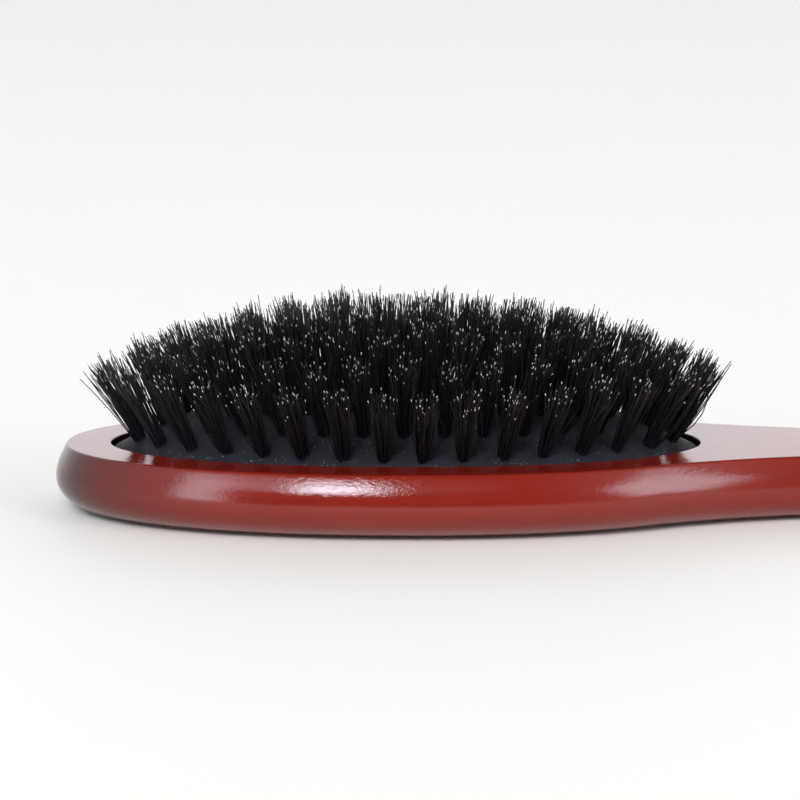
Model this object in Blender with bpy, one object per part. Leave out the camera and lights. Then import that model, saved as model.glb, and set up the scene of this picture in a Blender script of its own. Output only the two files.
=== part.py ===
"""Oval cushion hair brush: lacquered wooden body, domed rubber cushion and rings of bristle tufts.

Metres, +Z up. The origin is the centre of the head's flat back, the handle points along +X,
and the bristles stand along +Z. Every tuft pair is one bundle of bristles that is bent into
a U through two neighbouring holes of the cushion.
"""

import math

import bmesh
import bpy
from mathutils import Vector

MM = 0.001

# Wooden body
HEAD_HALF_LENGTH = 56.5 * MM
HEAD_HALF_WIDTH = 27.5 * MM
HEAD_FULLNESS = 2.12
BODY_THICKNESS = 11.0 * MM
SIDE_BULGE = 1.7 * MM
WIDEST_BELOW_TOP = 5.4 * MM
BACK_ROUNDING = 6.5 * MM
BACK_EDGE_LIFT = 0.35 * MM
BACK_FLAT_SHARE = 0.35
BACK_FLAT_FROM_ENDS = 14.0 * MM
HEAD_EDGE_RADIUS = 0.5 * MM
GRIP_EDGE_RADIUS = 4.2 * MM
SHOULDER_LENGTH = 16.5 * MM
NECK_BEYOND_HEAD = 21.5 * MM
NECK_HALF_WIDTH = 11.4 * MM
GRIP_BEYOND_NECK = 50.0 * MM
GRIP_HALF_WIDTH = 13.0 * MM
GRIP_LENGTH = 38.0 * MM
END_CAP_LENGTH = 17.0 * MM
END_CAP_FULLNESS = 0.9

# Pocket in the head that holds the cushion
RIM_AT_ENDS = 7.5 * MM
RIM_AT_SIDES = 6.9 * MM
POCKET_DEPTH = 7.2 * MM
GROOVE_TOP = 2.6 * MM
GROOVE_HEIGHT = 2.2 * MM
GROOVE_DEPTH = 1.8 * MM
CUTTER_ABOVE_TOP = 2.0 * MM
LENGTH_POWER = 2.25
WIDTH_POWER = 2.0

# Rubber cushion
CUSHION_WALL_GAP = 0.7 * MM
CUSHION_DROP = 0.8 * MM
DOME_HEIGHT = 11.0 * MM
SKIN = 1.3 * MM
BEAD_CLEARANCE = 0.3 * MM
VENT_RADIUS = 0.8 * MM
VENT_FROM_EDGE = 5.3 * MM

# Bristle tufts
TUFT_LENGTH = 14.2 * MM
TUFT_ROOT_RADIUS = 1.05 * MM
TUFT_TIP_RADIUS = 2.6 * MM
TUFT_BEND_RADIUS = 1.1 * MM
TUFT_BELOW_SKIN = 0.35 * MM
HOLE_CLEARANCE = 0.3 * MM
LEAN_ALONG = 1.1
LEAN_ACROSS = 0.72
RINGS = (
    # name, tufts, inset from the cushion's edge along and across, starts half a step in
    ("outer_tufts", 32, 3.7 * MM, 1.5 * MM, True),
    ("second_tufts", 28, 8.6 * MM, 5.1 * MM, False),
    ("third_tufts", 24, 13.7 * MM, 9.3 * MM, True),
    ("fourth_tufts", 20, 19.0 * MM, 14.3 * MM, False),
)
CENTRE_ROW = ("centre_tufts", 8, 25.3 * MM)

# Lining under the bent roots
LINING_GAP = 0.4 * MM
LINING_THICKNESS = 0.8 * MM

# How finely the round shapes are divided
OUTLINE_HEAD_STEPS = 72
OUTLINE_HANDLE_STEPS = 20
OUTLINE_CAP_STEPS = 14
POCKET_STEPS = 56
CUSHION_STEPS = 40
TUFT_SIDES = 8
DOME_STATIONS = (0.1, 0.3, 0.5, 0.68, 0.84, 1.0)
ELLIPSE_STEPS = 2880
SLOPE_STEP = 0.01 * MM

HANDLE_START = HEAD_HALF_LENGTH - SHOULDER_LENGTH
NECK_AT = HEAD_HALF_LENGTH + NECK_BEYOND_HEAD
GRIP_AT = NECK_AT + GRIP_BEYOND_NECK
HANDLE_END = GRIP_AT + GRIP_LENGTH
POCKET_HALF_LENGTH = HEAD_HALF_LENGTH - RIM_AT_ENDS
POCKET_HALF_WIDTH = HEAD_HALF_WIDTH - RIM_AT_SIDES
CUSHION_HALF_LENGTH = POCKET_HALF_LENGTH - CUSHION_WALL_GAP
CUSHION_HALF_WIDTH = POCKET_HALF_WIDTH - CUSHION_WALL_GAP
CUSHION_EDGE_Z = BODY_THICKNESS - CUSHION_DROP


def clear_scene():
    for thing in list(bpy.data.objects):
        bpy.data.objects.remove(thing, do_unlink=True)


def make_material(name, colour, roughness, coat=0.0):
    material = bpy.data.materials.new(name)
    material.use_nodes = True
    shader = material.node_tree.nodes["Principled BSDF"]
    shader.inputs["Base Color"].default_value = (*colour, 1.0)
    shader.inputs["Roughness"].default_value = roughness
    shader.inputs["Metallic"].default_value = 0.0
    shader.inputs["Coat Weight"].default_value = coat
    material.diffuse_color = (*colour, 1.0)
    return material


def make_object(name, mesh_data, material, smooth_degrees=35.0):
    """Turns a finished bmesh into an object of its own."""
    bmesh.ops.recalc_face_normals(mesh_data, faces=mesh_data.faces)
    mesh = bpy.data.meshes.new(name)
    mesh_data.to_mesh(mesh)
    mesh_data.free()
    mesh.materials.append(material)
    mesh.shade_smooth()
    mesh.set_sharp_from_angle(angle=math.radians(smooth_degrees))
    thing = bpy.data.objects.new(name, mesh)
    bpy.context.scene.collection.objects.link(thing)
    return thing


def add_loft(mesh_data, rings):
    """Joins rings of points, which all have the same count, into one skin with flat end caps."""
    rows = [[mesh_data.verts.new(point) for point in ring] for ring in rings]
    count = len(rows[0])
    for row, following in zip(rows, rows[1:]):
        for i in range(count):
            j = (i + 1) % count
            mesh_data.faces.new((row[i], row[j], following[j], following[i]))
    mesh_data.faces.new(list(reversed(rows[0])))
    mesh_data.faces.new(rows[-1])


def cut_with(thing, cutter):
    """Leaves a live EXACT Boolean on the object, with its cutter hidden."""
    cutter.hide_render = True
    cutter.display_type = "WIRE"
    cut = thing.modifiers.new("cut_" + cutter.name, "BOOLEAN")
    cut.operation = "DIFFERENCE"
    cut.solver = "EXACT"
    cut.object = cutter


def mix(low, high, share):
    return low + (high - low) * share


def ease(share):
    share = min(max(share, 0.0), 1.0)
    return share * share * (3.0 - 2.0 * share)


def signed_power(value, power):
    return math.copysign(abs(value) ** power, value)


# ---------------------------------------------------------------- wooden body


def head_half_width(x):
    share = min(abs(x) / HEAD_HALF_LENGTH, 1.0)
    return HEAD_HALF_WIDTH * (1.0 - share**HEAD_FULLNESS) ** (1.0 / HEAD_FULLNESS)


def head_slope(x):
    rise = head_half_width(x + SLOPE_STEP) - head_half_width(x - SLOPE_STEP)
    return rise / (2.0 * SLOPE_STEP)


def hermite(x, x0, w0, slope0, x1, w1, slope1):
    span = x1 - x0
    t = (x - x0) / span
    rise = w0 * (2 * t**3 - 3 * t**2 + 1) + w1 * (3 * t**2 - 2 * t**3)
    return rise + span * (slope0 * (t**3 - 2 * t**2 + t) + slope1 * (t**3 - t**2))


def handle_half_width(x):
    """From the head's shoulder to the slim neck, and out again to the grip."""
    if x <= NECK_AT:
        shoulder = head_half_width(HANDLE_START)
        return hermite(x, HANDLE_START, shoulder, head_slope(HANDLE_START), NECK_AT, NECK_HALF_WIDTH, 0.0)
    if x <= GRIP_AT:
        return mix(NECK_HALF_WIDTH, GRIP_HALF_WIDTH, ease((x - NECK_AT) / (GRIP_AT - NECK_AT)))
    return GRIP_HALF_WIDTH


def body_outline():
    """The crest of the body's side as (x, y) points, once around, counter-clockwise."""
    head_end = math.acos((HANDLE_START / HEAD_HALF_LENGTH) ** (HEAD_FULLNESS / 2.0))
    half = []
    for i in range(OUTLINE_HEAD_STEPS // 2 + 1):
        angle = mix(math.pi, head_end, i / (OUTLINE_HEAD_STEPS // 2))
        x = HEAD_HALF_LENGTH * signed_power(math.cos(angle), 2.0 / HEAD_FULLNESS)
        half.append((x, head_half_width(x)))
    cap_start = HANDLE_END - END_CAP_LENGTH
    for i in range(1, OUTLINE_HANDLE_STEPS + 1):
        x = mix(HANDLE_START, cap_start, i / OUTLINE_HANDLE_STEPS)
        half.append((x, handle_half_width(x)))
    for i in range(1, OUTLINE_CAP_STEPS // 2 + 1):
        angle = math.pi / 2 * i / (OUTLINE_CAP_STEPS // 2)
        x = cap_start + END_CAP_LENGTH * math.sin(angle)
        half.append((x, GRIP_HALF_WIDTH * abs(math.cos(angle)) ** END_CAP_FULLNESS))
    lower = [(x, -y) for x, y in half]
    upper = [(x, y) for x, y in reversed(half[1:-1])]
    return lower + upper


def outward_normals(points):
    normals = []
    for i in range(len(points)):
        before = Vector(points[i - 1])
        after = Vector(points[(i + 1) % len(points)])
        along = (after - before).normalized()
        normals.append(Vector((along.y, -along.x)))
    return normals


def side_profile(softness):
    """(outward, z) from the top's rim to the back's edge; softness is 0 on the head and 1 on the grip."""
    edge = mix(HEAD_EDGE_RADIUS, GRIP_EDGE_RADIUS, softness)
    bulge = mix(SIDE_BULGE, 0.0, softness)
    widest = BODY_THICKNESS - WIDEST_BELOW_TOP
    flare = bulge * math.pi / 2 / (WIDEST_BELOW_TOP - edge / 2)
    edge_turn = math.atan2(1.0, flare)
    side_top = BODY_THICKNESS - edge * (1.0 - math.cos(edge_turn))
    steps = []
    for share in (0.0, 1 / 3, 2 / 3):
        turn = edge_turn * share
        outward = edge * (math.sin(turn) - math.sin(edge_turn))
        steps.append((outward, BODY_THICKNESS - edge * (1.0 - math.cos(turn))))
    for share in (0.0, 0.5, 1.0):
        steps.append((bulge * math.sin(share * math.pi / 2), mix(side_top, widest, share)))
    for angle in (25.0, 50.0, 70.0, 90.0):
        turn = math.radians(angle)
        outward = bulge - BACK_ROUNDING * (1.0 - math.cos(turn))
        steps.append((outward, mix(widest, BACK_EDGE_LIFT, math.sin(turn))))
    return steps


def back_crown(edge_ring):
    """Rings that bring the back's edge in and down to the flat that the brush lies on."""
    low, high = -HEAD_HALF_LENGTH, HANDLE_END
    flat = []
    for x, y, _ in edge_ring:
        along = (x - low) / (high - low)
        flat.append((mix(low + BACK_FLAT_FROM_ENDS, high - BACK_FLAT_FROM_ENDS, along), y * BACK_FLAT_SHARE))
    rings = []
    for share in (0.5, 1.0):
        ring = []
        for (x, y, _), (flat_x, flat_y) in zip(edge_ring, flat):
            ring.append((mix(x, flat_x, share), mix(y, flat_y, share), BACK_EDGE_LIFT * (1.0 - share) ** 2))
        rings.append(ring)
    return rings


def build_wood_body(material):
    outline = body_outline()
    normals = outward_normals(outline)
    profiles = []
    for x, _ in outline:
        profiles.append(side_profile(ease((x - HEAD_HALF_LENGTH) / (GRIP_AT - HEAD_HALF_LENGTH))))
    rings = []
    for level in range(len(profiles[0])):
        ring = []
        for (x, y), normal, profile in zip(outline, normals, profiles):
            outward, z = profile[level]
            ring.append((x + normal.x * outward, y + normal.y * outward, z))
        rings.append(ring)
    rings.extend(back_crown(rings[-1]))
    skin = bmesh.new()
    add_loft(skin, rings)
    return make_object("wood_body", skin, material)


def oval(half_length, half_width, z, steps):
    """A ring of points on the oval that the pocket and the cushion share."""
    ring = []
    for i in range(steps):
        angle = 2.0 * math.pi * i / steps
        x = half_length * signed_power(math.cos(angle), 2.0 / LENGTH_POWER)
        y = half_width * signed_power(math.sin(angle), 2.0 / WIDTH_POWER)
        ring.append((x, y, z))
    return ring


def build_pocket_cutter(material):
    """The pocket with the undercut groove that grips the cushion's bead."""
    top = BODY_THICKNESS
    groove_low = GROOVE_TOP + GROOVE_HEIGHT
    levels = (
        (0.0, top + CUTTER_ABOVE_TOP),
        (0.0, top - GROOVE_TOP),
        (GROOVE_DEPTH, top - GROOVE_TOP),
        (GROOVE_DEPTH, top - groove_low),
        (0.0, top - groove_low),
        (0.0, top - POCKET_DEPTH),
    )
    rings = []
    for outward, z in levels:
        rings.append(oval(POCKET_HALF_LENGTH + outward, POCKET_HALF_WIDTH + outward, z, POCKET_STEPS))
    skin = bmesh.new()
    add_loft(skin, rings)
    return make_object("pocket_cutter", skin, material)


# ---------------------------------------------------------------- cushion


def edge_share(x, y):
    """0 on the cushion's centre and 1 on its edge."""
    along = abs(x / CUSHION_HALF_LENGTH) ** LENGTH_POWER
    return along + abs(y / CUSHION_HALF_WIDTH) ** WIDTH_POWER


def dome_z(x, y):
    return CUSHION_EDGE_Z + DOME_HEIGHT * (1.0 - edge_share(x, y))


def dome_slope(x, y):
    along = abs(x / CUSHION_HALF_LENGTH) ** (LENGTH_POWER - 1.0) / CUSHION_HALF_LENGTH
    across = abs(y / CUSHION_HALF_WIDTH) ** (WIDTH_POWER - 1.0) / CUSHION_HALF_WIDTH
    return (
        -DOME_HEIGHT * LENGTH_POWER * math.copysign(along, x),
        -DOME_HEIGHT * WIDTH_POWER * math.copysign(across, y),
    )


def beneath_dome(x, y, depth):
    """Height of a surface that lies depth beneath the dome, measured square to it."""
    return dome_z(x, y) - depth * math.sqrt(1.0 + sum(slope**2 for slope in dome_slope(x, y)))


def dome_rings(half_length, half_width, depth):
    """Rings from near the crown to the edge of a surface that lies depth beneath the dome."""
    rings = []
    for station in DOME_STATIONS:
        ring = oval(half_length * station, half_width * station, 0.0, CUSHION_STEPS)
        rings.append([(x, y, beneath_dome(x, y, depth)) for x, y, _ in ring])
    return rings


def build_cushion(material):
    """A domed skin whose edge turns down beside the pocket's wall and out into its groove."""
    flange_top = BODY_THICKNESS - GROOVE_TOP - BEAD_CLEARANCE
    flange_low = BODY_THICKNESS - GROOVE_TOP - GROOVE_HEIGHT + BEAD_CLEARANCE
    reach = CUSHION_WALL_GAP + GROOVE_DEPTH - BEAD_CLEARANCE
    length, width = CUSHION_HALF_LENGTH, CUSHION_HALF_WIDTH
    rings = dome_rings(length, width, 0.0)
    rings.append(oval(length, width, flange_top, CUSHION_STEPS))
    rings.append(oval(length + reach, width + reach, flange_top, CUSHION_STEPS))
    rings.append(oval(length + reach, width + reach, flange_low, CUSHION_STEPS))
    rings.append(oval(length - SKIN, width - SKIN, flange_low, CUSHION_STEPS))
    rings.extend(reversed(dome_rings(length - SKIN, width - SKIN, SKIN)))
    skin = bmesh.new()
    add_loft(skin, rings)
    return make_object("rubber_cushion", skin, material, smooth_degrees=50.0)


def build_lining(material):
    """A thin domed sheet that covers the bent roots of the tufts from below."""
    inset = SKIN + LINING_GAP
    length, width = CUSHION_HALF_LENGTH - inset, CUSHION_HALF_WIDTH - inset
    depth = SKIN + TUFT_BELOW_SKIN + TUFT_BEND_RADIUS + TUFT_ROOT_RADIUS + LINING_GAP
    rings = dome_rings(length, width, depth)
    rings.extend(reversed(dome_rings(length, width, depth + LINING_THICKNESS)))
    skin = bmesh.new()
    add_loft(skin, rings)
    return make_object("root_lining", skin, material)


# ---------------------------------------------------------------- tufts


def tuft_seat(x, y):
    """Where a tuft leaves the cushion, and the way it leans."""
    slope_x, slope_y = dome_slope(x, y)
    lean = Vector((-slope_x * LEAN_ALONG, -slope_y * LEAN_ACROSS, 1.0)).normalized()
    return Vector((x, y, dome_z(x, y))), lean


def ring_seats(count, inset_along, inset_across, half_step):
    """Seats at even steps around an ellipse, counted from the middle of its front."""
    half_length = CUSHION_HALF_LENGTH - inset_along
    half_width = CUSHION_HALF_WIDTH - inset_across
    step = 2.0 * math.pi / ELLIPSE_STEPS
    lengths = [0.0]
    for i in range(ELLIPSE_STEPS):
        angle = step * (i + 0.5)
        piece = math.hypot(half_length * math.cos(angle), half_width * math.sin(angle))
        lengths.append(lengths[-1] + piece * step)
    seats = []
    at = 0
    for k in range(count):
        wanted = lengths[-1] * (k + (0.5 if half_step else 0.0)) / count
        while lengths[at + 1] < wanted:
            at += 1
        share = (wanted - lengths[at]) / (lengths[at + 1] - lengths[at])
        angle = step * (at + share)
        seats.append(tuft_seat(half_length * math.sin(angle), -half_width * math.cos(angle)))
    return seats


def centre_seats(count, inset_along):
    reach = CUSHION_HALF_LENGTH - inset_along
    return [tuft_seat(mix(-reach, reach, k / (count - 1)), 0.0) for k in range(count)]


def all_tuft_groups():
    groups = [(name, ring_seats(*layout)) for name, *layout in RINGS]
    name, count, inset_along = CENTRE_ROW
    groups.append((name, centre_seats(count, inset_along)))
    return groups


def round_section(centre, forward, across, radius):
    """One ring of a swept tube: across is kept at a right angle to the way forward."""
    side = forward.cross(across).normalized()
    across = side.cross(forward).normalized()
    ring = []
    for i in range(TUFT_SIDES):
        angle = 2.0 * math.pi * i / TUFT_SIDES
        ring.append(centre + radius * (across * math.cos(angle) + side * math.sin(angle)))
    return ring


def build_tuft_pair(name, first, second, material):
    """One bundle: down through the first seat, a U-turn under the skin, and up the second."""
    (start, lean_a), (end, lean_b) = first, second
    depth = SKIN + TUFT_BELOW_SKIN
    low_a = start - lean_a * depth
    low_b = end - lean_b * depth
    run = ((low_b - lean_b * TUFT_BEND_RADIUS) - (low_a - lean_a * TUFT_BEND_RADIUS)).normalized()
    across = run.cross(lean_a + lean_b).normalized()
    root = TUFT_ROOT_RADIUS
    stations = (
        (start + lean_a * TUFT_LENGTH, -lean_a, TUFT_TIP_RADIUS),
        (start, -lean_a, root),
        (low_a, -lean_a, root),
        (low_a + (run - lean_a) * TUFT_BEND_RADIUS, run, root),
        (low_b - (run + lean_b) * TUFT_BEND_RADIUS, run, root),
        (low_b, lean_b, root),
        (end, lean_b, root),
        (end + lean_b * TUFT_LENGTH, lean_b, TUFT_TIP_RADIUS),
    )
    tube = bmesh.new()
    add_loft(tube, [round_section(centre, forward, across, radius) for centre, forward, radius in stations])
    return make_object(name, tube, material, smooth_degrees=60.0)


def build_hole_cutter(groups, material):
    """One rod for each tuft and one for the vent, all a clearance wider than what passes through."""
    rods = bmesh.new()
    reach = SKIN + TUFT_BELOW_SKIN + TUFT_BEND_RADIUS
    vent = tuft_seat(CUSHION_HALF_LENGTH - VENT_FROM_EDGE, 0.0)
    holes = [(seat, TUFT_ROOT_RADIUS + HOLE_CLEARANCE) for _, seats in groups for seat in seats]
    holes.append((vent, VENT_RADIUS))
    for (base, lean), radius in holes:
        across = lean.cross(Vector((1.0, 0.0, 0.0))).normalized()
        low = round_section(base - lean * reach, lean, across, radius)
        high = round_section(base + lean * reach, lean, across, radius)
        add_loft(rods, [low, high])
    return make_object("hole_cutter", rods, material)


def main():
    clear_scene()
    wood = make_material("red_lacquered_wood", (0.25, 0.035, 0.022), 0.16, coat=0.8)
    rubber = make_material("charcoal_rubber", (0.032, 0.033, 0.036), 0.62)
    felt = make_material("grey_lining", (0.09, 0.088, 0.085), 0.95)
    bristle = make_material("black_boar_bristle", (0.018, 0.013, 0.011), 0.42)

    body = build_wood_body(wood)
    cut_with(body, build_pocket_cutter(wood))

    groups = all_tuft_groups()
    cushion = build_cushion(rubber)
    cut_with(cushion, build_hole_cutter(groups, rubber))
    build_lining(felt)
    for name, seats in groups:
        for k in range(0, len(seats), 2):
            build_tuft_pair(f"{name}_{k // 2 + 1:02d}", seats[k], seats[k + 1], bristle)


main()
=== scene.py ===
"""Looks of the oval cushion brush: lacquered wood, matte rubber and boar bristle, on a pale floor."""

import math

import bmesh
import bpy
import numpy as np
from mathutils import Matrix, Vector


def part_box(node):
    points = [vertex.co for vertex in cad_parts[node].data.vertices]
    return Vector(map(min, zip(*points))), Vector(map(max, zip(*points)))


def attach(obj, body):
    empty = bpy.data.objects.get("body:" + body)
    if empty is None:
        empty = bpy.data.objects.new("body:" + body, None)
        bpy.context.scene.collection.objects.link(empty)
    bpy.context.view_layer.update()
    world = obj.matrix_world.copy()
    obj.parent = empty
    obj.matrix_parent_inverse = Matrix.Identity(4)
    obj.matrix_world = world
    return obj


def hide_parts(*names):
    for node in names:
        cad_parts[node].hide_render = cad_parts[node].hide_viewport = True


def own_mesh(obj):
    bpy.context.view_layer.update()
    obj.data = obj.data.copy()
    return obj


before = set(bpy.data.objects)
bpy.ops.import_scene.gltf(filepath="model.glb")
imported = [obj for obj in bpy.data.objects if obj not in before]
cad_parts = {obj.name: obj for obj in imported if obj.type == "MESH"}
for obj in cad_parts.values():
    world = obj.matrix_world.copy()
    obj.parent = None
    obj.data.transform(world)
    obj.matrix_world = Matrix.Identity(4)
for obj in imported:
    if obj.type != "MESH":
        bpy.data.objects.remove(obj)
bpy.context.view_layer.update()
MM = 0.001

# ---------------------------------------------------------------- sizes, from the frame

body_low, body_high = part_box("wood_body")

TOP = body_high.z
SIDE_BULGE = 1.7 * MM
HEAD_HALF_LENGTH = -body_low.x - SIDE_BULGE
HEAD_HALF_WIDTH = body_high.y - SIDE_BULGE
HANDLE_END = body_high.x
HEAD_FULLNESS = 2.12
WIDEST_BELOW_TOP = 5.4 * MM
BACK_ROUNDING = 6.5 * MM
BACK_EDGE_LIFT = 0.35 * MM
BACK_FLAT_SHARE = 0.35
BACK_FLAT_FROM_ENDS = 14.0 * MM
HEAD_EDGE_RADIUS = 0.5 * MM
GRIP_EDGE_RADIUS = 4.2 * MM
HANDLE_START = HEAD_HALF_LENGTH - 16.5 * MM
NECK_AT = HEAD_HALF_LENGTH + 21.5 * MM
NECK_HALF_WIDTH = 11.4 * MM
GRIP_AT = NECK_AT + 50.0 * MM
GRIP_HALF_WIDTH = 13.0 * MM
END_CAP_LENGTH = 17.0 * MM
END_CAP_FULLNESS = 0.9
RIM_INSET = 0.12 * MM

POCKET_HALF_LENGTH = HEAD_HALF_LENGTH - 7.5 * MM
POCKET_HALF_WIDTH = HEAD_HALF_WIDTH - 6.9 * MM
POCKET_DEPTH = 7.2 * MM
GROOVE_TOP = 2.6 * MM
GROOVE_HEIGHT = 2.2 * MM
GROOVE_DEPTH = 1.8 * MM
LIP_RADIUS = 0.22 * MM
LIP_RIM = 0.1 * MM
# Lip radii below the top where the pocket's wall row starts; from there down, the wall, groove and floor
# carry painted shade.
SHADE_BELOW_LIP = 1.05
LENGTH_POWER = 2.25
WIDTH_POWER = 2.0

POCKET_GAP = 0.7 * MM
CUSHION_HALF_LENGTH = POCKET_HALF_LENGTH - POCKET_GAP
CUSHION_HALF_WIDTH = POCKET_HALF_WIDTH - POCKET_GAP
CUSHION_EDGE_Z = TOP - 0.8 * MM
DOME_HEIGHT = 11.0 * MM
SKIN = 1.3 * MM
BEAD_CLEARANCE = 0.3 * MM
BEAD_WALL = 0.4 * MM
BEAD_SOFTNESS = 0.35 * MM
DENT_DEPTH = 0.22 * MM
DENT_RADIUS = 1.25 * MM
DENT_STEEPNESS = 4

TUFT_LENGTH = 14.2 * MM
TUFT_ROOT_RADIUS = 1.05 * MM
TUFT_TIP_RADIUS = 2.6 * MM
TUFT_BEND_RADIUS = 1.1 * MM
TUFT_BELOW_SKIN = 0.35 * MM
LINING_GAP = 0.4 * MM
LINING_THICKNESS = 0.8 * MM
ROOT_OVERLAP = 0.3 * MM
ROOT_SIDES = 14
ROOT_BEND_STEPS = 6
ROOT_RIDGES = (0.9, 0.97)
LEAN_ALONG = 1.1
LEAN_ACROSS = 0.72
RINGS = (
    # body, node's name, tufts, inset along and across, starts half a step in
    ("outer_ring", "outer_tufts", 32, 3.7 * MM, 1.5 * MM, True),
    ("second_ring", "second_tufts", 28, 8.6 * MM, 5.1 * MM, False),
    ("third_ring", "third_tufts", 24, 13.7 * MM, 9.3 * MM, True),
    ("fourth_ring", "fourth_tufts", 20, 19.0 * MM, 14.3 * MM, False),
)
CENTRE_ROW = ("centre_row", "centre_tufts", 8, 25.3 * MM)

# ---------------------------------------------------------------- looks

HAIRS_PER_TUFT = 60
HAIR_ROOT_RADIUS = 0.11 * MM
HAIR_TIP_RADIUS = 0.07 * MM
HAIR_TAPER = 1.6
HAIR_STEPS = 6
HAIR_SIDES = 4
HAIR_STARTS = -0.9 * MM
TUFT_LENGTH_SPREAD = 0.022
HAIR_LENGTH_SPREAD = 0.052
OUTER_HAIRS_SHORTER = 0.05
SHORT_SHARE = 0.22
SHORT_LENGTHS = (0.74, 0.93)
FAN_SHARES = (0.70, 1.12)
FAN_POWER = 1.5
ROOT_FILL = 0.94
HAIR_TIP_SPREAD = 0.40 * MM
TUFT_TIP_SPREAD = 0.30 * MM
BOW_SPREAD = 0.30 * MM
STRAY_SHARE = 0.10
STRAY_SPREAD = 0.9
STRAY_LIMIT = 1.6
STRAY_BOW = 2.2
MIDDLE_SHIFT = 0.045
SIDE_GUIDE = (0.31, 0.95, 0.02)
RIB_COUNT = 95
TIP_RIBS_FROM = 42.0 * MM
TIP_RIBS_FADE = 2.0 * MM
SEED = 11
FINE_STEPS = 700
ELLIPSE_STEPS = 2880
SLOPE_STEP = 0.01 * MM

STAIN_DARK = (0.190, 0.0098, 0.0034)
STAIN_PALE = (0.213, 0.0118, 0.0042)
# Near-black painted shade for the pocket's wall, groove and floor below the lip.
POCKET_SHADE_COLOUR = (0.012, 0.008, 0.007)
RUBBER_DARK = (0.0115, 0.0116, 0.0158)
RUBBER_PALE = (0.0190, 0.0191, 0.0250)
# Pale speck colour on the rubber: partly dirt, partly painted glints along the edge's crease.
DUST_AND_GLINT = (0.20, 0.195, 0.19)
FELT_DARK = (0.06, 0.058, 0.055)
FELT_PALE = (0.13, 0.125, 0.12)
# Blue-black of the lower shafts, kept below the painted backlight on the upper hair.
HAIR_SHAFT = (0.0066, 0.0086, 0.0104)
FLOOR_DARK = (0.917, 0.890, 0.830)
FLOOR_PALE = (0.923, 0.896, 0.836)
FLOOR_REACH = 6.0
FLOOR_BELOW = 0.05 * MM

# ---------------------------------------------------------------- light, in degrees and radiance
# Azimuth 0 is the camera's side and 90 is the handle's; elevation is above the horizon.

WALL_COLOUR = (0.98, 0.985, 1.02)
SOFTBOX_COLOUR = (0.90, 0.96, 1.08)
WALL_NEAR_CAMERA = 0.13
WALL_AT_SIDES = 0.92
WALL_BEHIND = 1.4
WALL_TURN = (15.0, 62.0)
BACK_TURN = (100.0, 160.0)
CEILING = 0.12
CEILING_TURN = (38.0, 62.0)
SOFTBOXES = (
    # middle, height, half width, half height, slant, rise, softness across, softness up, radiance
    (-12.5, 34.0, 7.0, 6.0, 0.0, 0.0, 5.0, 2.0, 22.0),
    (-30.0, 35.0, 7.0, 6.0, 0.0, 0.0, 4.0, 4.0, 2.2),
    (5.0, 36.0, 10.0, 5.0, 0.0, 0.0, 5.0, 4.0, 0.4),
    (-41.0, 20.0, 6.5, 19.0, 0.1, 0.0, 4.0, 4.0, 4.4),
    (53.0, 21.0, 12.0, 13.0, 0.32, 0.5, 5.0, 4.0, 5.0),
)
FILL_POWER = 17.0
FILL_AZIMUTH = -8.0
FILL_ELEVATION = 40.0
FILL_DISTANCE = 2.2
FILL_SIZE = 0.9

CAMERA_LENS = 125.6
CAMERA_PITCH = 10.69
CAMERA_YAW = 1.15
CAMERA_ROLL = -0.155
CAMERA_PLACE = (8.28 * MM, -455.0 * MM, TOP + 92.8 * MM)

# ---------------------------------------------------------------- small helpers


def mix(low, high, share):
    return low + (high - low) * share


def ease(share):
    share = min(max(share, 0.0), 1.0)
    return share * share * (3.0 - 2.0 * share)


def signed_power(value, power):
    return np.sign(value) * np.abs(value) ** power


def mesh_object(name, points, faces, material, sharp_degrees=40.0):
    """An object from points and faces, shaded smooth except across sharp edges."""
    mesh = bpy.data.meshes.new(name)
    mesh.from_pydata([tuple(p) for p in points], [], faces)
    mesh.materials.append(material)
    mesh.shade_smooth()
    mesh.set_sharp_from_angle(angle=math.radians(sharp_degrees))
    thing = bpy.data.objects.new(name, mesh)
    bpy.context.scene.collection.objects.link(thing)
    return thing


def give(thing, name, values):
    """Stores a number for each point of the object's mesh, which a material can read by name."""
    layer = thing.data.attributes.new(name, "FLOAT", "POINT")
    layer.data.foreach_set("value", np.asarray(values, dtype=np.float32))


def loft_faces(rows, count, first=0):
    """Quads between rows of points that each go once around."""
    faces = []
    for row in range(rows - 1):
        low = first + row * count
        for i in range(count):
            j = (i + 1) % count
            faces.append((low + i, low + j, low + count + j, low + count + i))
    return faces


# ---------------------------------------------------------------- node materials


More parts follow.
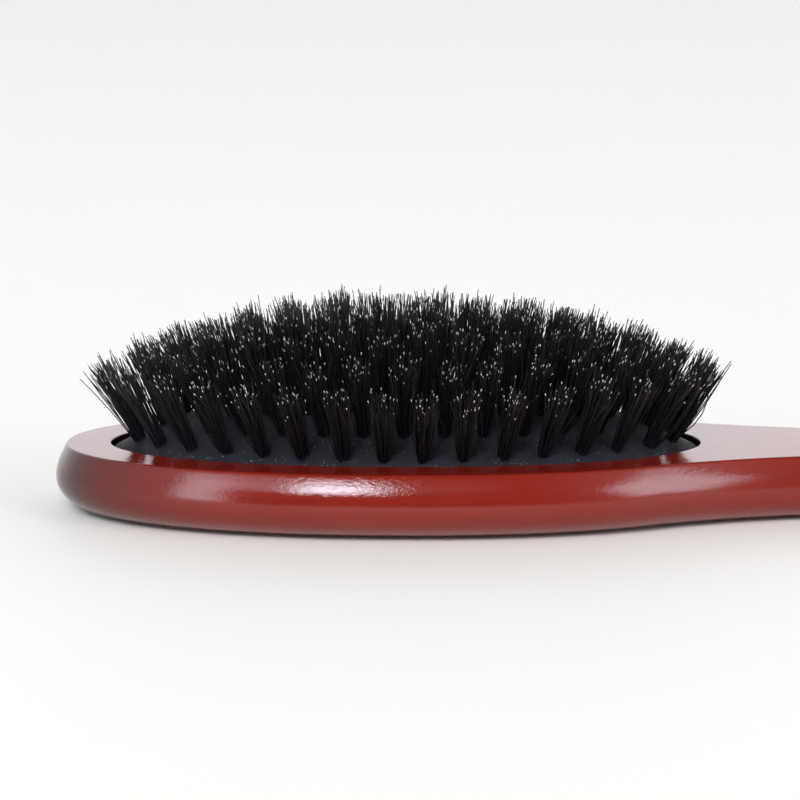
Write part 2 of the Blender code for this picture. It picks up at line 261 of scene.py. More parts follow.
class Nodes:
    """A material's node tree, with short calls for the nodes that this scene uses."""

    def __init__(self, name):
        self.material = bpy.data.materials.new(name)
        self.material.use_nodes = True
        self.tree = self.material.node_tree
        self.shader = self.tree.nodes["Principled BSDF"]
        self.place = self.tree.nodes.new("ShaderNodeTexCoord").outputs["Object"]

    def link(self, output, target):
        self.tree.links.new(output, target)

    def set(self, **values):
        for name, value in values.items():
            self.shader.inputs[name.replace("_", " ")].default_value = value

    def drive(self, name, output):
        self.link(output, self.shader.inputs[name])

    def stretched(self, scale, turn=(0.0, 0.0, 0.0)):
        node = self.tree.nodes.new("ShaderNodeMapping")
        node.inputs["Scale"].default_value = scale
        node.inputs["Rotation"].default_value = [math.radians(a) for a in turn]
        self.link(self.place, node.inputs["Vector"])
        return node.outputs["Vector"]

    def noise(self, scale, detail=3.0, roughness=0.5, distortion=0.0, turn=(0.0, 0.0, 0.0)):
        """Noise whose scale is features per metre along x, y and z."""
        node = self.tree.nodes.new("ShaderNodeTexNoise")
        node.inputs["Scale"].default_value = 1.0
        node.inputs["Detail"].default_value = detail
        node.inputs["Roughness"].default_value = roughness
        node.inputs["Distortion"].default_value = distortion
        self.link(self.stretched(scale, turn), node.inputs["Vector"])
        return node.outputs["Fac"]

    def ramp(self, value, *stops):
        """Stops are (place, colour), with colour a grey number or (r, g, b)."""
        node = self.tree.nodes.new("ShaderNodeValToRGB")
        elements = node.color_ramp.elements
        while len(elements) < len(stops):
            elements.new(0.5)
        for element, (place, colour) in zip(elements, stops):
            element.position = place
            if isinstance(colour, (int, float)):
                colour = (colour, colour, colour)
            element.color = (*colour, 1.0)
        self.link(value, node.inputs["Fac"])
        return node.outputs["Color"]

    def blend(self, share, a, b, kind="MIX"):
        """Mixes two colours or outputs; share is a number or an output."""
        node = self.tree.nodes.new("ShaderNodeMix")
        node.data_type = "RGBA"
        node.blend_type = kind
        for socket, value in ((node.inputs["Factor"], share), (node.inputs[6], a), (node.inputs[7], b)):
            if isinstance(value, bpy.types.NodeSocket):
                self.link(value, socket)
            elif isinstance(value, tuple):
                socket.default_value = (*value, 1.0)
            else:
                socket.default_value = value
        return node.outputs[2]

    def math(self, operation, a, b=0.0):
        node = self.tree.nodes.new("ShaderNodeMath")
        node.operation = operation
        for socket, value in zip(node.inputs, (a, b)):
            if isinstance(value, bpy.types.NodeSocket):
                self.link(value, socket)
            else:
                socket.default_value = value
        return node.outputs[0]

    def attribute(self, name):
        node = self.tree.nodes.new("ShaderNodeAttribute")
        node.attribute_name = name
        return node.outputs["Fac"]

    def bump(self, height, distance, strength=1.0, under=None):
        node = self.tree.nodes.new("ShaderNodeBump")
        node.inputs["Distance"].default_value = distance
        node.inputs["Strength"].default_value = strength
        self.link(height, node.inputs["Height"])
        if under is not None:
            self.link(under, node.inputs["Normal"])
        return node.outputs["Normal"]


def lacquered_wood():
    """Red-brown stain over fine grain, under a glossy sprayed lacquer that is faintly rippled; painted
    shade darkens the head's left end, and a near-black painted shade without lacquer fills the pocket
    below its lip.
    """
    n = Nodes("lacquered_wood")
    grain = n.noise((45.0, 1500.0, 1500.0), detail=5.0, roughness=0.62, distortion=0.3)
    cloud = n.noise((28.0, 90.0, 90.0), detail=3.0, distortion=0.6)
    pores = n.noise((260.0, 5200.0, 5200.0), detail=2.0)
    stain = n.ramp(cloud, (0.3, STAIN_DARK), (0.72, STAIN_PALE))
    streaks = n.ramp(grain, (0.34, 0.91), (0.62, 1.0))
    colour = n.blend(1.0, stain, streaks, "MULTIPLY")
    specks = n.ramp(pores, (0.25, 0.80), (0.32, 1.0))
    speckled = n.blend(1.0, colour, specks, "MULTIPLY")
    # Painted shade: the side facing out at the head's left end is darkened, down to a fifth, to stand in
    # for the weaker light there.
    left_end_shade = n.ramp(n.attribute("left_end_shade"), (0.25, 1.0), (0.8, 0.20))
    stained = n.blend(1.0, speckled, left_end_shade, "MULTIPLY")
    # Painted shade: below its lip the pocket is coloured near-black and left without lacquer, standing
    # in for the shade in the recess.
    pocket_shade = n.attribute("pocket_shade")
    n.drive("Base Color", n.blend(pocket_shade, stained, POCKET_SHADE_COLOUR))
    n.drive("Roughness", n.ramp(grain, (0.3, 0.46), (0.7, 0.38)))
    n.drive("Coat Weight", n.ramp(pocket_shade, (0.0, 1.0), (1.0, 0.0)))
    n.set(Specular_IOR_Level=0.04, Coat_Roughness=0.035, Coat_IOR=1.5)
    ripple = n.noise((1200.0, 2000.0, 2000.0), detail=3.0, roughness=0.65, distortion=0.5)
    swell = n.noise((120.0, 210.0, 210.0), detail=1.0)
    skin = n.bump(ripple, 0.024 * MM)
    n.drive("Coat Normal", n.bump(swell, 0.02 * MM, under=skin))
    n.drive("Normal", n.bump(grain, 0.015 * MM))
    return n.material


def matte_rubber():
    """Charcoal rubber with a soft bloom, fine pits, moulded ribs at its tips, rubbed lines, and pale
    specks near its edge that are partly dirt and partly painted glints.
    """
    n = Nodes("matte_rubber")
    bloom = n.noise((130.0, 160.0, 160.0), detail=4.0, roughness=0.6)
    pits = n.noise((3800.0, 3800.0, 3800.0), detail=2.0)
    lines = n.noise((420.0, 2900.0, 900.0), detail=2.0, distortion=0.3, turn=(0.0, 0.0, 38.0))
    speck_noise = n.noise((3200.0, 3200.0, 3200.0), detail=0.0)
    base = n.ramp(bloom, (0.3, RUBBER_DARK), (0.7, RUBBER_PALE))
    lined = n.blend(1.0, base, n.ramp(lines, (0.4, 0.82), (0.62, 1.15)), "MULTIPLY")
    edge = n.attribute("edge_share")
    near_edge = n.ramp(edge, (0.80, 0.0), (0.95, 1.0))
    # Pale specks, denser near the edge: partly dirt, partly painted glints in the edge's crease.
    specks = n.ramp(n.math("ADD", speck_noise, n.math("MULTIPLY", near_edge, 0.05)), (0.80, 0.0), (0.84, 0.8))
    n.drive("Base Color", n.blend(specks, lined, DUST_AND_GLINT))
    n.drive("Roughness", n.ramp(bloom, (0.3, 0.68), (0.7, 0.55)))
    n.set(Specular_IOR_Level=0.3)
    fine = n.bump(pits, 0.02 * MM)
    rubbed = n.bump(lines, 0.03 * MM, under=fine)
    ribs = n.math("SINE", n.math("MULTIPLY", edge, RIB_COUNT * 2.0 * math.pi))
    ribs = n.math("MULTIPLY", ribs, n.attribute("tip_share"))
    n.drive("Normal", n.bump(ribs, 0.12 * MM, under=rubbed))
    return n.material


def felt():
    """Grey, fuzzy sheet of matted fibres."""
    n = Nodes("felt")
    fibres = n.noise((2400.0, 2400.0, 2400.0), detail=5.0, roughness=0.7, distortion=1.5)
    n.drive("Base Color", n.ramp(fibres, (0.3, FELT_DARK), (0.7, FELT_PALE)))
    n.set(Roughness=0.95, Sheen_Weight=0.4)
    n.drive("Normal", n.bump(fibres, 0.15 * MM))
    return n.material


def boar_bristle():
    """Near-black hair, some of it brown, with many of its cut ends pale; the brown is real in some hairs
    but is kept to their upper shafts as painted backlight glowing through the hair.
    """
    n = Nodes("boar_bristle")
    shade = n.attribute("hair_shade")
    along = n.attribute("hair_along")
    body = n.ramp(
        shade,
        (0.0, (0.0055, 0.0060, 0.0072)),
        (0.70, (0.0080, 0.0080, 0.0088)),
        (0.88, (0.016, 0.0122, 0.0118)),
        (1.0, (0.046, 0.031, 0.027)),
    )
    # Painted light: the lower shafts are held to one blue-black, and the brown and paler shades show
    # only toward the top, standing in for backlight through the hair.
    body = n.blend(n.ramp(along, (0.62, 0.0), (0.93, 1.0)), HAIR_SHAFT, body)
    cut = n.ramp(
        n.attribute("tip_shade"),
        (0.60, (0.012, 0.010, 0.010)),
        (0.68, (0.24, 0.20, 0.17)),
        (1.0, (0.80, 0.74, 0.66)),
    )
    end = n.ramp(along, (0.966, 0.0), (0.982, 1.0))
    n.drive("Base Color", n.blend(end, body, cut))
    n.drive("Roughness", n.ramp(shade, (0.0, 0.34), (1.0, 0.5)))
    n.set(Specular_IOR_Level=0.4)
    return n.material


# ---------------------------------------------------------------- wooden body


def head_half_width(x):
    share = np.minimum(np.abs(x) / HEAD_HALF_LENGTH, 1.0)
    return HEAD_HALF_WIDTH * (1.0 - share**HEAD_FULLNESS) ** (1.0 / HEAD_FULLNESS)


def handle_half_width(x):
    """From the head's shoulder to the slim neck, and out again to the grip."""
    if x > NECK_AT:
        return mix(NECK_HALF_WIDTH, GRIP_HALF_WIDTH, ease((x - NECK_AT) / (GRIP_AT - NECK_AT)))
    shoulder = head_half_width(HANDLE_START)
    rise = head_half_width(HANDLE_START + SLOPE_STEP) - head_half_width(HANDLE_START - SLOPE_STEP)
    slope = rise / (2.0 * SLOPE_STEP)
    span = NECK_AT - HANDLE_START
    t = (x - HANDLE_START) / span
    blended = shoulder * (2 * t**3 - 3 * t**2 + 1) + NECK_HALF_WIDTH * (3 * t**2 - 2 * t**3)
    return blended + span * slope * (t**3 - 2 * t**2 + t)


def body_outline(steps):
    """Evenly spaced points of the side's crest and their outward normals, counter-clockwise."""
    half = []
    head_end = math.acos((HANDLE_START / HEAD_HALF_LENGTH) ** (HEAD_FULLNESS / 2.0))
    for i in range(FINE_STEPS + 1):
        turn = mix(math.pi, head_end, i / FINE_STEPS)
        x = HEAD_HALF_LENGTH * float(signed_power(math.cos(turn), 2.0 / HEAD_FULLNESS))
        half.append((x, float(head_half_width(x))))
    cap_start = HANDLE_END - END_CAP_LENGTH
    for i in range(1, FINE_STEPS + 1):
        x = mix(HANDLE_START, cap_start, i / FINE_STEPS)
        half.append((x, handle_half_width(x)))
    for i in range(1, FINE_STEPS + 1):
        angle = math.pi / 2 * i / FINE_STEPS
        x = cap_start + END_CAP_LENGTH * math.sin(angle)
        half.append((x, GRIP_HALF_WIDTH * math.cos(angle) ** END_CAP_FULLNESS))
    half = np.array(half)
    closed = np.concatenate([half * (1, -1), half[-2::-1]])
    distance = np.concatenate([[0.0], np.cumsum(np.hypot(*np.diff(closed, axis=0).T))])
    at = distance[-1] * np.arange(steps) / steps
    points = np.stack([np.interp(at, distance, closed[:, k]) for k in (0, 1)], 1)
    along = np.roll(points, -1, 0) - np.roll(points, 1, 0)
    along /= np.hypot(*along.T)[:, None]
    normals = np.stack([along[:, 1], -along[:, 0]], 1)
    return points, normals


def side_profile(softness):
    """(outward, z) rows from just inside the top's rim to the back's edge."""
    edge = mix(HEAD_EDGE_RADIUS, GRIP_EDGE_RADIUS, softness)
    bulge = mix(SIDE_BULGE, 0.0, softness)
    widest = TOP - WIDEST_BELOW_TOP
    flare = bulge * math.pi / 2 / (WIDEST_BELOW_TOP - edge / 2)
    edge_turn = math.atan2(1.0, flare)
    side_top = TOP - edge * (1.0 - math.cos(edge_turn))
    rows = [(-edge * math.sin(edge_turn) - RIM_INSET, TOP)]
    for share in np.linspace(0.0, 1.0, 7)[:-1]:
        turn = edge_turn * share
        rows.append((edge * (math.sin(turn) - math.sin(edge_turn)), TOP - edge * (1.0 - math.cos(turn))))
    for share in np.linspace(0.0, 1.0, 15):
        rows.append((bulge * math.sin(share * math.pi / 2), mix(side_top, widest, share)))
    for angle in np.radians(np.linspace(0.0, 90.0, 16)[1:]):
        outward = bulge - BACK_ROUNDING * (1.0 - math.cos(angle))
        rows.append((outward, mix(widest, BACK_EDGE_LIFT, math.sin(angle))))
    return rows


def back_crown(edge_ring):
    """Rings that bring the back's edge in and down to the flat that the brush lies on."""
    low, high = -HEAD_HALF_LENGTH, HANDLE_END
    along = (edge_ring[:, 0] - low) / (high - low)
    flat_x = mix(low + BACK_FLAT_FROM_ENDS, high - BACK_FLAT_FROM_ENDS, along)
    flat = np.column_stack([flat_x, edge_ring[:, 1] * BACK_FLAT_SHARE])
    rings = []
    for share in np.linspace(0.0, 1.0, 9)[1:]:
        ring = mix(edge_ring[:, :2], flat, share)
        rings.append(np.column_stack([ring, np.full(len(ring), BACK_EDGE_LIFT * (1.0 - share) ** 2)]))
    return rings


def oval(half_length, half_width, steps):
    """Points on the oval that the pocket and the cushion share."""
    angle = 2.0 * math.pi * np.arange(steps) / steps
    x = half_length * signed_power(np.cos(angle), 2.0 / LENGTH_POWER)
    y = half_width * signed_power(np.sin(angle), 2.0 / WIDTH_POWER)
    return np.stack([x, y], 1)


def pocket_profile():
    """(outward, z) rows from the flat top over the rounded lip, the wall and its groove to the floor."""
    groove_low = GROOVE_TOP + GROOVE_HEIGHT
    rows = [(LIP_RADIUS + LIP_RIM, TOP)]
    for angle in np.radians(np.linspace(0.0, 90.0, 6)):
        rows.append((LIP_RADIUS * (1.0 - math.sin(angle)), TOP - LIP_RADIUS * (1.0 - math.cos(angle))))
    rows.append((0.0, TOP - SHADE_BELOW_LIP * LIP_RADIUS))
    rows.append((0.0, TOP - GROOVE_TOP))
    rows.append((GROOVE_DEPTH, TOP - GROOVE_TOP))
    rows.append((GROOVE_DEPTH, TOP - groove_low))
    rows.append((0.0, TOP - groove_low))
    rows.append((0.0, TOP - POCKET_DEPTH))
    return rows


def build_wood(material):
    """The body as one closed skin: side, flat top with the pocket in it, and flat back."""
    around, pocket_around = 640, 320
    outline, normals = body_outline(around)
    softness = [ease((x - HEAD_HALF_LENGTH) / (GRIP_AT - HEAD_HALF_LENGTH)) for x in outline[:, 0]]
    profiles = np.array([side_profile(s) for s in softness])
    points = []
    for row in range(profiles.shape[1]):
        ring = outline + normals * profiles[:, row, :1]
        points.append(np.column_stack([ring, profiles[:, row, 1]]))
    points += back_crown(points[-1])
    side_rows = len(points)
    faces = loft_faces(side_rows, around)
    faces.append(tuple(reversed(range((side_rows - 1) * around, side_rows * around))))
    first = side_rows * around
    levels = pocket_profile()
    for outward, z in levels:
        ring = oval(POCKET_HALF_LENGTH + outward, POCKET_HALF_WIDTH + outward, pocket_around)
        points.append(np.column_stack([ring, np.full(pocket_around, z)]))
    faces += [tuple(reversed(face)) for face in loft_faces(len(levels), pocket_around, first)]
    last = first + (len(levels) - 1) * pocket_around
    faces.append(tuple(range(last, last + pocket_around)))
    thing = mesh_object("wood_body_lacquered", np.concatenate(points), faces, material)

    skin = bmesh.new()
    skin.from_mesh(thing.data)
    skin.verts.ensure_lookup_table()
    rim = []
    for start, count in ((0, around), (first, pocket_around)):
        for i in range(count):
            a, b = skin.verts[start + i], skin.verts[start + (i + 1) % count]
            rim.append(skin.edges.get((a, b)))
    bmesh.ops.triangle_fill(skin, edges=rim, use_beauty=True, normal=(0.0, 0.0, 1.0))
    bmesh.ops.recalc_face_normals(skin, faces=skin.faces)
    skin.to_mesh(thing.data)
    skin.free()
    thing.data.shade_smooth()
    thing.data.set_sharp_from_angle(angle=math.radians(40.0))
    # Painted shade mask: 1 on the pocket's rows below the lip, 0 elsewhere.
    lip_rows = sum(1 for _, z in levels if z > TOP - mix(1.0, SHADE_BELOW_LIP, 0.5) * LIP_RADIUS)
    pocket_shade = np.zeros(len(thing.data.vertices))
    pocket_shade[first + lip_rows * pocket_around:] = 1.0
    give(thing, "pocket_shade", pocket_shade)
    # Painted shade for the head's left end: how far each side and back point faces out along minus x,
    # kept at zero on the top rim row.
    tip_normal = np.zeros((side_rows, around))
    tip_normal[:] = np.clip(-normals[:, 0], 0.0, 1.0) * (outline[:, 0] < 0.0)
    left_end_shade = np.zeros(len(thing.data.vertices))
    left_end_shade[: tip_normal.size] = tip_normal.ravel()
    left_end_shade[:around] = 0.0
    give(thing, "left_end_shade", left_end_shade)
    return thing


# ---------------------------------------------------------------- cushion and lining


def edge_share(x, y):
    """0 on the cushion's centre and 1 on its edge."""
    along = np.abs(x / CUSHION_HALF_LENGTH) ** LENGTH_POWER
    return along + np.abs(y / CUSHION_HALF_WIDTH) ** WIDTH_POWER


def dome_z(x, y):
    return CUSHION_EDGE_Z + DOME_HEIGHT * (1.0 - edge_share(x, y))


def dome_slope(x, y):
    along = np.abs(x / CUSHION_HALF_LENGTH) ** (LENGTH_POWER - 1.0) / CUSHION_HALF_LENGTH
    across = np.abs(y / CUSHION_HALF_WIDTH) ** (WIDTH_POWER - 1.0) / CUSHION_HALF_WIDTH
    return (
        -DOME_HEIGHT * LENGTH_POWER * np.sign(x) * along,
        -DOME_HEIGHT * WIDTH_POWER * np.sign(y) * across,
    )


def dome_grid(half_length, half_width, depth, stations, steps):
    """Rings over the dome, lowered so that they lie depth beneath its outside."""
    rings = []
    for station in stations:
        x, y = oval(half_length * station, half_width * station, steps).T
        slope_x, slope_y = dome_slope(x, y)
        steepness = np.sqrt(1.0 + slope_x**2 + slope_y**2)
        rings.append(np.column_stack([x, y, dome_z(x, y) - depth * steepness]))
    return rings


def dent_at_tufts(points, seats):
    """Draws the skin in a little where each tuft passes through it."""
    for seat, _ in seats:
        apart = np.hypot(points[:, 0] - seat.x, points[:, 1] - seat.y)
        points[:, 2] -= DENT_DEPTH * np.exp(-((apart / DENT_RADIUS) ** DENT_STEEPNESS))
    return points


def build_cushion_dome(material, seats):
    steps = 300
    stations = np.concatenate([np.linspace(0.012, 0.88, 62), np.linspace(0.89, 1.0, 14)])
    outside = dome_grid(CUSHION_HALF_LENGTH, CUSHION_HALF_WIDTH, 0.0, stations, steps)
    outside = [dent_at_tufts(ring, seats) for ring in outside]
    rolled = outside[-1].copy()
    rolled[:, 2] = CUSHION_EDGE_Z
    inset = (CUSHION_HALF_LENGTH - SKIN, CUSHION_HALF_WIDTH - SKIN)
    inside = dome_grid(*inset, SKIN, stations[::6], steps)
    lip = np.column_stack([oval(*inset, steps), np.full(steps, CUSHION_EDGE_Z)])
    rings = outside + [rolled, lip] + inside[::-1]
    points = np.concatenate(rings)
    faces = loft_faces(len(rings), steps)
    faces.append(tuple(reversed(range(steps))))
    faces.append(tuple(range(len(points) - steps, len(points))))
    thing = mesh_object("cushion_dome", points, faces, material, sharp_degrees=50.0)
    give(thing, "edge_share", edge_share(points[:, 0], points[:, 1]))
    tip_reach = (np.abs(points[:, 0]) - TIP_RIBS_FROM) / TIP_RIBS_FADE
    give(thing, "tip_share", np.clip(tip_reach, 0.0, 1.0))
    return thing


def build_cushion_bead(material):
    """The skin's turned-down edge and the bead that sits in the groove."""
    steps = 200
    low = TOP - GROOVE_TOP - GROOVE_HEIGHT + BEAD_CLEARANCE
    high = TOP - GROOVE_TOP - BEAD_CLEARANCE
    reach = GROOVE_DEPTH + POCKET_GAP - BEAD_CLEARANCE
    soft = BEAD_SOFTNESS
    profile = (
        (0.0, CUSHION_EDGE_Z),
        (0.0, high + soft),
        (soft, high),
        (reach - soft, high),
        (reach, high - soft),
        (reach, low + soft),
        (reach - soft, low),
        (-BEAD_WALL, low),
        (-BEAD_WALL, CUSHION_EDGE_Z),
    )
    rings = []
    for outward, z in profile:
        ring = oval(CUSHION_HALF_LENGTH + outward, CUSHION_HALF_WIDTH + outward, steps)
        rings.append(np.column_stack([ring, np.full(steps, z)]))
    rings.append(rings[0])
    points = np.concatenate(rings[:-1])
    faces = loft_faces(len(rings), steps)
    faces = [tuple(i % len(points) for i in face) for face in faces]
    return mesh_object("cushion_bead", points, faces, material, sharp_degrees=50.0)


def build_lining(material):
    steps = 120
    inset = SKIN + LINING_GAP
    size = (CUSHION_HALF_LENGTH - inset, CUSHION_HALF_WIDTH - inset)
    depth = SKIN + TUFT_BELOW_SKIN + TUFT_BEND_RADIUS + TUFT_ROOT_RADIUS + LINING_GAP
    stations = np.linspace(0.04, 1.0, 22)
    rings = dome_grid(*size, depth, stations, steps)
    rings += dome_grid(*size, depth + LINING_THICKNESS, stations, steps)[::-1]
    points = np.concatenate(rings)
    faces = loft_faces(len(rings), steps)
    faces.append(tuple(reversed(range(steps))))
    faces.append(tuple(range(len(points) - steps, len(points))))
    return mesh_object("lining_felt", points, faces, material)


# ---------------------------------------------------------------- bristles


def tuft_seat(x, y):
    """Where a tuft leaves the cushion, and the way it leans."""
    slope_x, slope_y = dome_slope(x, y)
    lean = Vector((-slope_x * LEAN_ALONG, -slope_y * LEAN_ACROSS, 1.0)).normalized()
    return Vector((x, y, dome_z(x, y))), lean


def ring_seats(count, inset_along, inset_across, half_step):
    """Seats at even steps around an ellipse, counted from the middle of its front."""
    half_length = CUSHION_HALF_LENGTH - inset_along
    half_width = CUSHION_HALF_WIDTH - inset_across
    middles = 2.0 * math.pi * (np.arange(ELLIPSE_STEPS) + 0.5) / ELLIPSE_STEPS
    pieces = np.hypot(half_length * np.cos(middles), half_width * np.sin(middles))
    lengths = np.concatenate([[0.0], np.cumsum(pieces)])
    wanted = lengths[-1] * (np.arange(count) + (0.5 if half_step else 0.0)) / count
    steps = np.interp(wanted, lengths, np.arange(ELLIPSE_STEPS + 1))
    angles = 2.0 * math.pi * steps / ELLIPSE_STEPS
    return [tuft_seat(half_length * math.sin(a), -half_width * math.cos(a)) for a in angles]


def centre_seats(count, inset_along):
    reach = CUSHION_HALF_LENGTH - inset_along
    return [tuft_seat(x, 0.0) for x in np.linspace(-reach, reach, count)]


def all_tuft_groups():
    groups = [(body, node, ring_seats(*layout)) for body, node, *layout in RINGS]
    body, node, count, inset_along = CENTRE_ROW
    groups.append((body, node, centre_seats(count, inset_along)))
    return groups


def side_axes(way):
    across = way.cross(Vector(SIDE_GUIDE)).normalized()
    return np.array(across), np.array(way.cross(across).normalized())


def hair_lines(seat, rng):
    """Centre lines of one tuft's hairs, as (hairs, steps, 3): tight at the root, fanned at the top."""
    base, lean = np.array(seat[0]), seat[1]
    u, v = side_axes(lean)
    lean = np.array(lean)
    count = HAIRS_PER_TUFT
    radius = np.sqrt(rng.uniform(0.0, 1.0, count))
    angle = rng.uniform(0.0, 2.0 * math.pi, count)
    flat = np.stack([radius * np.cos(angle), radius * np.sin(angle)], 1)
    share = rng.normal(1.0, TUFT_LENGTH_SPREAD) + rng.normal(0.0, HAIR_LENGTH_SPREAD, count)
    length = TUFT_LENGTH * (share - OUTER_HAIRS_SHORTER * radius**2)
    short = rng.uniform(0.0, 1.0, count) < SHORT_SHARE
    length = np.where(short, length * rng.uniform(*SHORT_LENGTHS, count), length)
    tip = flat * TUFT_TIP_RADIUS * rng.uniform(*FAN_SHARES, (count, 1))
    tip += rng.normal(0.0, HAIR_TIP_SPREAD, (count, 2))
    tip += rng.normal(0.0, TUFT_TIP_SPREAD, 2)
    stray = rng.uniform(0.0, 1.0, count) < STRAY_SHARE
    away = np.clip(rng.normal(0.0, STRAY_SPREAD, (count, 2)), -STRAY_LIMIT, STRAY_LIMIT)
    tip += np.where(stray[:, None], away * MM, 0.0)
    bow = rng.normal(0.0, BOW_SPREAD, (count, 2)) * np.where(stray, STRAY_BOW, 1.0)[:, None]
    at = np.linspace(0.0, 1.0, HAIR_STEPS + 1)
    at = at + MIDDLE_SHIFT * np.sin(at * math.pi) ** 2
    sideways = (
        flat[:, None, :] * TUFT_ROOT_RADIUS * ROOT_FILL * (1.0 - at[None, :, None] ** FAN_POWER)
        + tip[:, None, :] * at[None, :, None] ** FAN_POWER
        + bow[:, None, :] * np.sin(at * math.pi)[None, :, None]
    )
    rise = mix(HAIR_STARTS, length[:, None], at[None, :])
    return (
        base
        + rise[..., None] * lean
        + sideways[..., :1] * u
        + sideways[..., 1:] * v
    )


def hair_tubes(lines):
    """Thin tapered tubes on the lines: points, quads, caps, and each point's place along its hair."""
    count, steps, _ = lines.shape
    way = np.gradient(lines, axis=1)
    way /= np.linalg.norm(way, axis=2, keepdims=True)
    across = np.cross(way, np.array(SIDE_GUIDE))
    across /= np.linalg.norm(across, axis=2, keepdims=True)
    other = np.cross(way, across)
    along = np.linspace(0.0, 1.0, steps)
    thick = mix(HAIR_ROOT_RADIUS, HAIR_TIP_RADIUS, along**HAIR_TAPER)
    turns = 2.0 * math.pi * np.arange(HAIR_SIDES) / HAIR_SIDES
    offsets = across[:, :, None] * np.cos(turns)[:, None] + other[:, :, None] * np.sin(turns)[:, None]
    points = lines[:, :, None] + offsets * thick[None, :, None, None]
    index = np.arange(points[..., 0].size).reshape(count, steps, HAIR_SIDES)
    low, high = index[:, :-1], index[:, 1:]
    quads = np.stack([low, np.roll(low, -1, 2), np.roll(high, -1, 2), high], -1).reshape(-1, 4)
    caps = np.concatenate([index[:, 0, ::-1], index[:, -1]])
    return points.reshape(-1, 3), quads, caps, np.broadcast_to(along[None, :, None], index.shape).ravel()


def root_tube(first, second):
    """The bundle's U-turn under the skin, from one seat to the next, as rows of points and quads."""
    (start, lean_a), (end, lean_b) = first, second
    depth = SKIN + TUFT_BELOW_SKIN
    bend = TUFT_BEND_RADIUS
    low_a, low_b = start - lean_a * depth, end - lean_b * depth
    run = ((low_b - lean_b * bend) - (low_a - lean_a * bend)).normalized()
    across = run.cross(lean_a + lean_b).normalized()
    stations = [(start - lean_a * ROOT_OVERLAP, -lean_a)]
    for turn in np.linspace(0.0, math.pi / 2, ROOT_BEND_STEPS):
        centre = low_a + run * bend
        place = centre - run * bend * math.cos(turn) - lean_a * bend * math.sin(turn)
        stations.append((place, (run * math.sin(turn) - lean_a * math.cos(turn)).normalized()))
    for turn in np.linspace(math.pi / 2, 0.0, ROOT_BEND_STEPS):
        centre = low_b - run * bend
        place = centre + run * bend * math.cos(turn) - lean_b * bend * math.sin(turn)
        stations.append((place, (run * math.sin(turn) + lean_b * math.cos(turn)).normalized()))
    stations.append((end - lean_b * ROOT_OVERLAP, lean_b))
    rows = []
    for centre, forward in stations:
        side = forward.cross(across).normalized()
        for i in range(ROOT_SIDES):
            angle = 2.0 * math.pi * i / ROOT_SIDES
            ridge = TUFT_ROOT_RADIUS * ROOT_RIDGES[i % 2]
            rows.append(centre + ridge * (across * math.cos(angle) + side * math.sin(angle)))
    return np.array(rows), loft_faces(len(stations), ROOT_SIDES)


def build_tuft_group(body, node, seats, material, rng):
    """All hairs of one ring and their bent roots, in one mesh that rides on the ring's body."""
    lines = np.concatenate([hair_lines(seat, rng) for seat in seats])
    points, quads, caps, along = hair_tubes(lines)
    faces = [tuple(face) for face in quads.tolist()] + [tuple(face) for face in caps.tolist()]
    points, along = [points], [along]
    points_per_hair = len(along[0]) // len(lines)
    shade = [np.repeat(rng.uniform(0.0, 1.0, len(lines)), points_per_hair)]
    tip_shade = [np.repeat(rng.uniform(0.0, 1.0, len(lines)), points_per_hair)]
    total = len(points[0])
    for k in range(0, len(seats), 2):
        tube, tube_faces = root_tube(seats[k], seats[k + 1])
        faces += [tuple(i + total for i in face) for face in tube_faces]
        faces.append(tuple(total + i for i in reversed(range(ROOT_SIDES))))
        faces.append(tuple(total + len(tube) - ROOT_SIDES + i for i in range(ROOT_SIDES)))
        points.append(tube)
        along.append(np.zeros(len(tube)))
        ridges = np.where(np.arange(ROOT_SIDES) % 2, 0.1, 0.8)
        shade.append(np.tile(ridges, len(tube) // ROOT_SIDES))
        tip_shade.append(np.zeros(len(tube)))
        total += len(tube)
    thing = mesh_object(node + "_hair", np.concatenate(points), faces, material, sharp_degrees=75.0)
    give(thing, "hair_along", np.concatenate(along))
    give(thing, "hair_shade", np.concatenate(shade))
    give(thing, "tip_shade", np.concatenate(tip_shade))
    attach(thing, body)
    pairs = [f"{node}_{k + 1:02d}" for k in range(len(seats) // 2)]
    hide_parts(*pairs)
    return thing


# ---------------------------------------------------------------- stage, light and camera


def build_floor():
    n = Nodes("pale_floor")
    grey = n.noise((9.0, 9.0, 9.0))
    n.drive("Base Color", n.ramp(grey, (0.3, FLOOR_DARK), (0.7, FLOOR_PALE)))
    n.set(Roughness=0.6, Specular_IOR_Level=0.2)
    corners = ((-1, -1), (1, -1), (1, 1), (-1, 1))
    points = [(x * FLOOR_REACH, y * FLOOR_REACH, -FLOOR_BELOW) for x, y in corners]
    floor = mesh_object("floor", points, [(0, 1, 2, 3)], n.material)


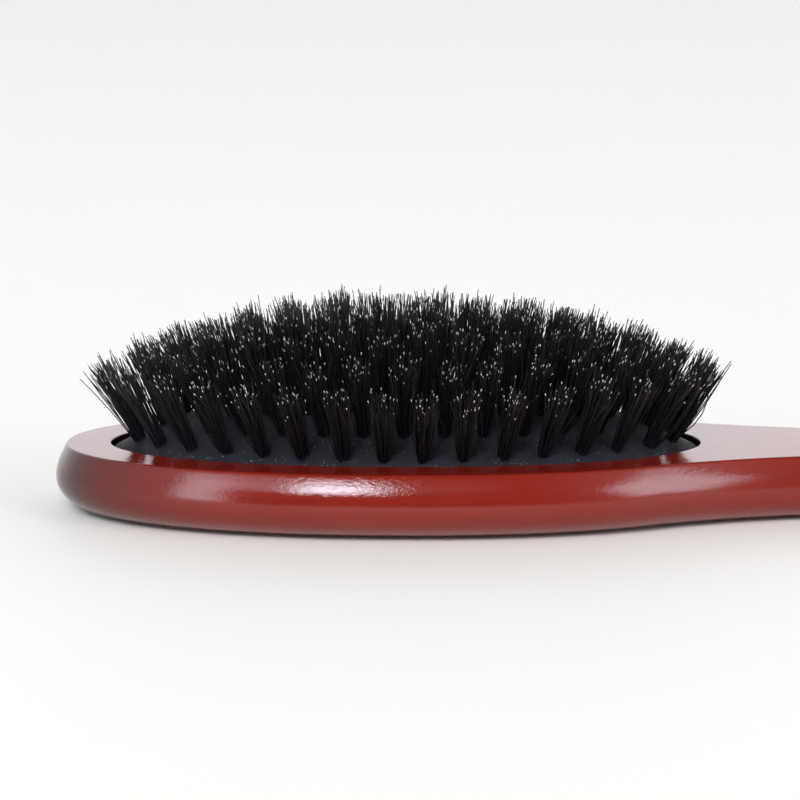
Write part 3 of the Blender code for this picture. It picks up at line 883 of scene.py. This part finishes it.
def build_sky():
    """A light tent: white walls behind and beside the brush, dark round the camera, and softboxes."""
    world = bpy.data.worlds.new("booth")
    bpy.context.scene.world = world
    world.use_nodes = True
    tree = world.node_tree

    def calculate(operation, a, b=0.0):
        node = tree.nodes.new("ShaderNodeMath")
        node.operation = operation
        for socket, value in zip(node.inputs, (a, b)):
            if isinstance(value, (int, float)):
                socket.default_value = value
            else:
                tree.links.new(value, socket)
        return node.outputs[0]

    def step(value, start, end, low=0.0, high=1.0):
        node = tree.nodes.new("ShaderNodeMapRange")
        node.interpolation_type = "SMOOTHSTEP"
        for name, number in (("From Min", start), ("From Max", end), ("To Min", low), ("To Max", high)):
            node.inputs[name].default_value = number
        tree.links.new(value, node.inputs["Value"])
        return node.outputs["Result"]

    way = tree.nodes.new("ShaderNodeTexCoord").outputs["Generated"]
    split = tree.nodes.new("ShaderNodeSeparateXYZ")
    tree.links.new(way, split.inputs[0])
    x, y, z = split.outputs
    degrees = 180.0 / math.pi
    azimuth = calculate("MULTIPLY", calculate("ARCTAN2", x, calculate("MULTIPLY", y, -1.0)), degrees)
    elevation = calculate("MULTIPLY", calculate("ARCSINE", z), degrees)

    round_to_side = calculate("ABSOLUTE", azimuth)
    walls = step(round_to_side, *WALL_TURN, WALL_NEAR_CAMERA, WALL_AT_SIDES)
    walls = calculate("ADD", walls, step(round_to_side, *BACK_TURN, 0.0, WALL_BEHIND - WALL_AT_SIDES))
    overhead = step(elevation, *CEILING_TURN)
    room = calculate("MULTIPLY", walls, calculate("SUBTRACT", 1.0, overhead))
    room = calculate("ADD", room, calculate("MULTIPLY", overhead, CEILING))
    panels = 0.0
    for middle, height, half_wide, half_tall, slant, rise, soft_wide, soft_tall, power in SOFTBOXES:
        aside = calculate("SUBTRACT", azimuth, middle)
        above = calculate("SUBTRACT", elevation, height)
        leaned = calculate("ADD", aside, calculate("MULTIPLY", above, slant))
        lifted = calculate("SUBTRACT", above, calculate("MULTIPLY", aside, rise))
        wide = step(calculate("ABSOLUTE", leaned), half_wide + soft_wide, half_wide - soft_wide)
        tall = step(calculate("ABSOLUTE", lifted), half_tall + soft_tall, half_tall - soft_tall)
        panel = calculate("MULTIPLY", calculate("MULTIPLY", wide, tall), power)
        panels = calculate("ADD", panel, panels)

    both = tree.nodes.new("ShaderNodeAddShader")
    for socket, light, colour in zip(both.inputs, (room, panels), (WALL_COLOUR, SOFTBOX_COLOUR)):
        glow = tree.nodes.new("ShaderNodeBackground")
        glow.inputs["Color"].default_value = (*colour, 1.0)
        tree.links.new(light, glow.inputs["Strength"])
        tree.links.new(glow.outputs[0], socket)
    tree.links.new(both.outputs[0], tree.nodes["World Output"].inputs["Surface"])


def build_fill_light():
    """A large soft light over the camera, too diffuse to show in the lacquer."""
    azimuth, elevation = math.radians(FILL_AZIMUTH), math.radians(FILL_ELEVATION)
    level = math.cos(elevation)
    way = Vector((math.sin(azimuth) * level, -math.cos(azimuth) * level, math.sin(elevation)))
    light = bpy.data.lights.new("fill", "AREA")
    light.size = FILL_SIZE
    light.energy = FILL_POWER
    thing = bpy.data.objects.new("fill", light)
    thing.location = way * FILL_DISTANCE
    thing.rotation_euler = (-way).to_track_quat("-Z", "Y").to_euler()
    thing.visible_glossy = False
    bpy.context.scene.collection.objects.link(thing)


def build_camera():
    camera = bpy.data.cameras.new("camera")
    camera.lens = CAMERA_LENS
    camera.sensor_width = 36.0
    camera.clip_start = 0.01
    thing = bpy.data.objects.new("camera", camera)
    pitch, yaw, roll = (math.radians(a) for a in (CAMERA_PITCH, CAMERA_YAW, CAMERA_ROLL))
    level = math.cos(pitch)
    forward = Vector((-math.sin(yaw) * level, math.cos(yaw) * level, -math.sin(pitch)))
    right = forward.cross(Vector((0.0, 0.0, 1.0))).normalized()
    up = right.cross(forward)
    rolled_right = right * math.cos(roll) + up * math.sin(roll)
    rolled_up = up * math.cos(roll) - right * math.sin(roll)
    turn = Matrix((rolled_right, rolled_up, -forward)).transposed().to_4x4()
    thing.matrix_world = Matrix.Translation(CAMERA_PLACE) @ turn
    bpy.context.scene.collection.objects.link(thing)
    bpy.context.scene.camera = thing


# ---------------------------------------------------------------- the whole brush


def main():
    groups = all_tuft_groups()
    seats = [seat for _, _, ring in groups for seat in ring]

    wood = build_wood(lacquered_wood())
    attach(wood, "brush_body")
    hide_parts("wood_body")

    rubber = matte_rubber()
    dome = build_cushion_dome(rubber, seats)
    bead = build_cushion_bead(rubber)
    for piece in (dome, bead):
        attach(piece, "brush_body")
        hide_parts("rubber_cushion")
    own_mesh(dome)

    lining = build_lining(felt())
    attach(lining, "brush_body")
    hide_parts("root_lining")
    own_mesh(lining)

    bristle = boar_bristle()
    rng = np.random.default_rng(SEED)
    for body, node, ring in groups:
        build_tuft_group(body, node, ring, bristle, rng)

    build_floor()
    build_sky()
    build_fill_light()
    build_camera()
    bpy.context.scene.view_settings.view_transform = "Standard"


main()
